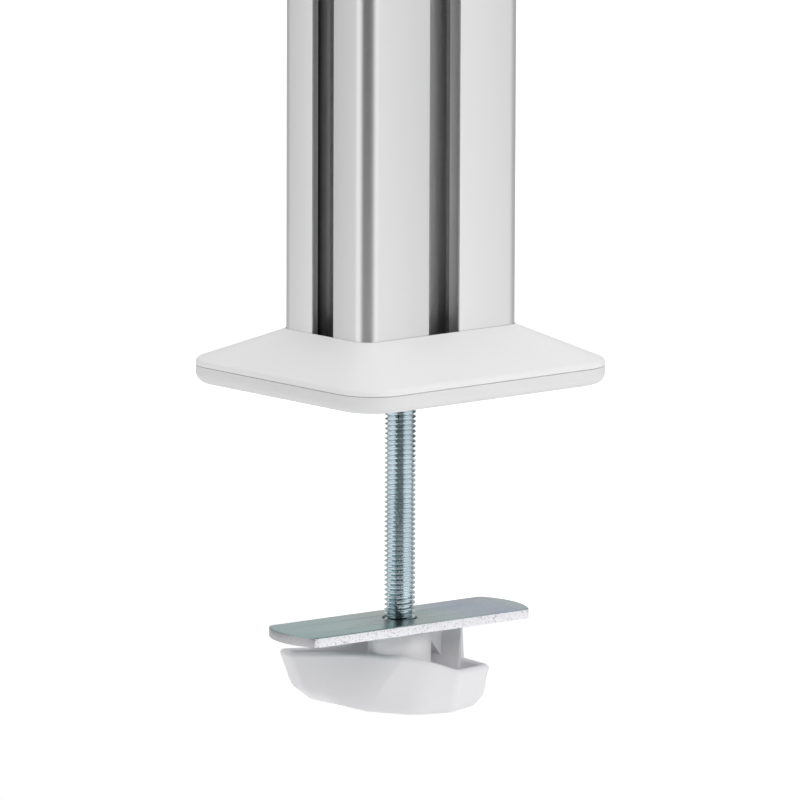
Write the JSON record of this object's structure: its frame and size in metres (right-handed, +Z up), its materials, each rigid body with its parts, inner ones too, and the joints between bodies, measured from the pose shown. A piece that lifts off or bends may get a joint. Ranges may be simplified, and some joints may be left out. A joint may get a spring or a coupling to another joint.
{
  "type": "monitor arm",
  "caption": "Desk column for monitor arms: T-slotted aluminium post on a sloped base, held through the desk by a threaded rod, clamp plate and wing knob.",
  "frame": {"origin": "where the rod's axis meets the desk's top face, in the plane of the pad's underside", "axes": "+Z up the column, +X along the long side of the base, +Y along its short side"},
  "size_m": [0.084, 0.0736, 0.3917],
  "materials": {
    "anodised_aluminium": "silver anodised, satin",
    "moulded_plastic": "white, fine texture",
    "painted_base": "white powder coat",
    "pad_rubber": "black, matt",
    "screw_steel": "bright zinc",
    "zinc_rod": "blue-passivated zinc",
    "zinc_plate": "blue-passivated zinc with faint rainbow tint",
    "knob_plastic": "light grey, fine texture"
  },
  "bodies": {
    "base": {"column_profile": "anodised_aluminium", "column_top_cap": "moulded_plastic", "base_cover": "moulded_plastic", "base_plate": "painted_base", "desk_pad": "pad_rubber", "column_screw_1": "screw_steel", "column_screw_2": "screw_steel", "column_screw_3": "screw_steel", "column_screw_4": "screw_steel", "threaded_rod": "zinc_rod", "rod_lock_washer": "zinc_rod", "rod_lock_nut": "zinc_rod"},
    "carriage": {"thrust_washer": "screw_steel"},
    "clamp": {"clamp_plate": "zinc_plate"},
    "knob": {"wing_knob": "knob_plastic", "knob_insert_nut": "screw_steel"}
  },
  "joints": [
    {"name": "clamp_travel", "type": "slide", "parent": "base", "child": "carriage", "axis": [0, 0, 1], "range_m": [0, 0.05]},
    {"name": "plate_swivel", "type": "hinge", "parent": "carriage", "child": "clamp", "pos_m": [0, 0, -0.0598], "axis": [0, 0, 1], "continuous": true},
    {"name": "knob_spin", "type": "hinge", "parent": "carriage", "child": "knob", "pos_m": [0, 0, -0.07], "axis": [0, 0, 1], "range_deg": [0, 14400]}
  ],
  "couplings": [
    {"joint": "knob_spin", "follows": "clamp_travel", "rad_per_m": 5026.5}
  ]
}
